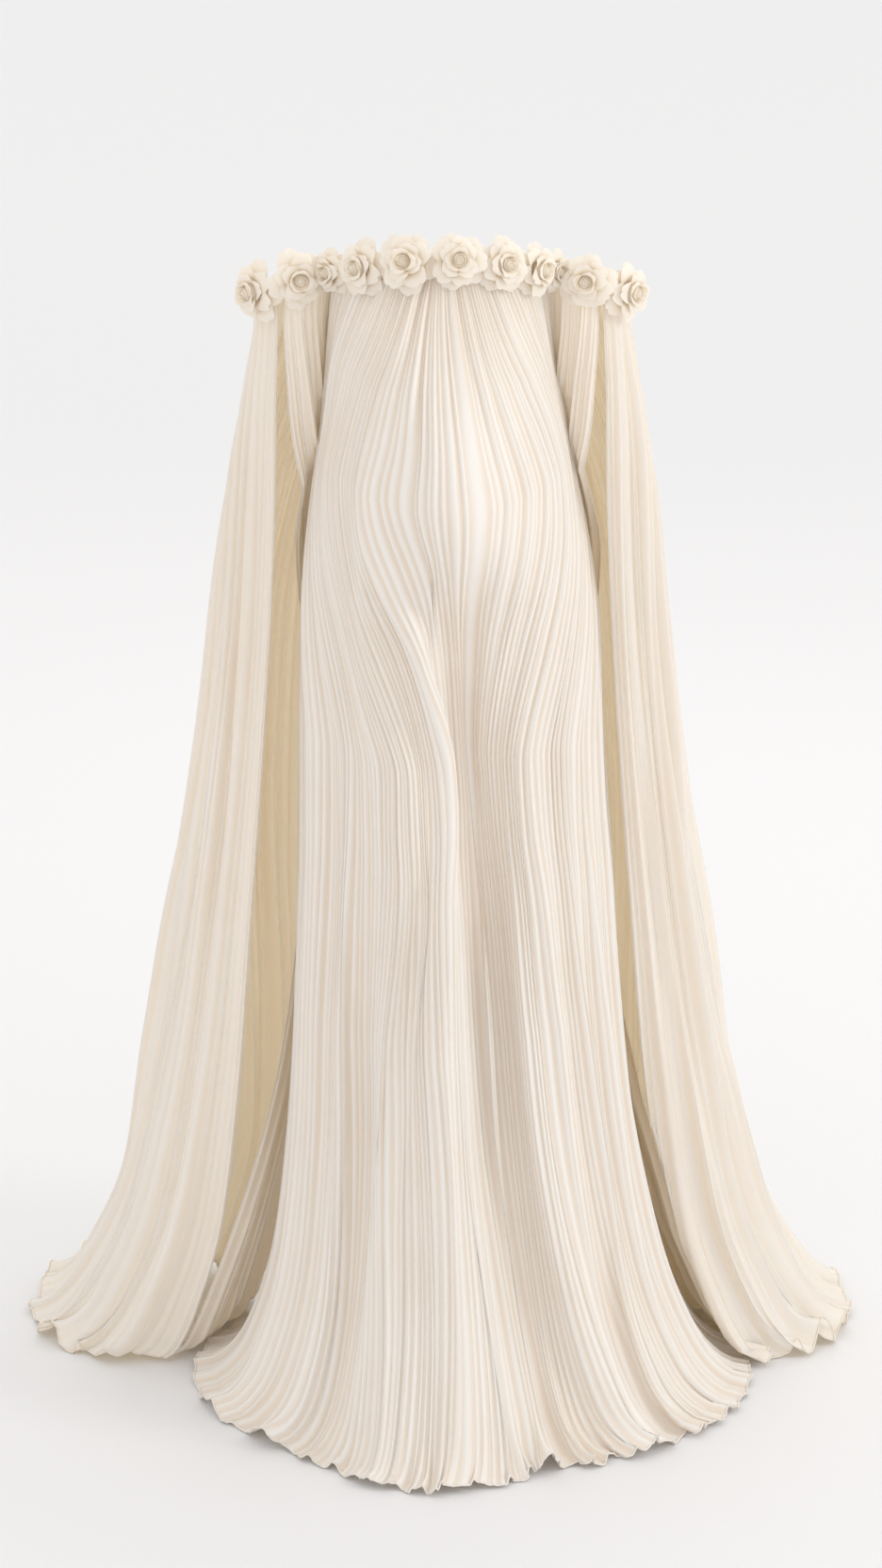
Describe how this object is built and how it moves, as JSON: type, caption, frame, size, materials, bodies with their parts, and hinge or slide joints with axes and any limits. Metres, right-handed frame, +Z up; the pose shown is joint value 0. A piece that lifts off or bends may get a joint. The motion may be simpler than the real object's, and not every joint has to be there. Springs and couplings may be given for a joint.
{
  "type": "off-shoulder gown",
  "caption": "Floor-length off-shoulder maternity gown in fine-pleated cloth, with slit cape sleeves and a row of fabric roses along the neckline.",
  "frame": {"origin": "the middle of the neckline, at the height of the band's middle at the centre front, where the gown is held; the floor is 1.431 m below", "axes": "+Z up, -Y towards the gown's front, +X towards the wearer's left"},
  "size_m": [1.0318, 0.7073, 1.4545],
  "materials": {
    "cloth": "fine pleated ivory chiffon, matt with a soft sheen",
    "sleeve_cloth": "fine pleated ivory chiffon, sheer, a little warmer where it lies double",
    "band": "plain ivory cloth band",
    "rose": "smooth cream satin petals"
  },
  "bodies": {
    "root": {"front": "cloth", "back": "cloth", "sleeve_right_inner": "sleeve_cloth", "sleeve_right_outer": "sleeve_cloth", "sleeve_left_inner": "sleeve_cloth", "sleeve_left_outer": "sleeve_cloth", "band_front": "band", "band_back": "band", "band_right_arm": "band", "band_left_arm": "band", "rose_01": "rose", "rose_02": "rose", "rose_03": "rose", "rose_04": "rose", "rose_05": "rose", "rose_06": "rose", "rose_07": "rose", "rose_08": "rose", "rose_09": "rose", "rose_10": "rose", "rose_11": "rose"}
  },
  "joints": []
}
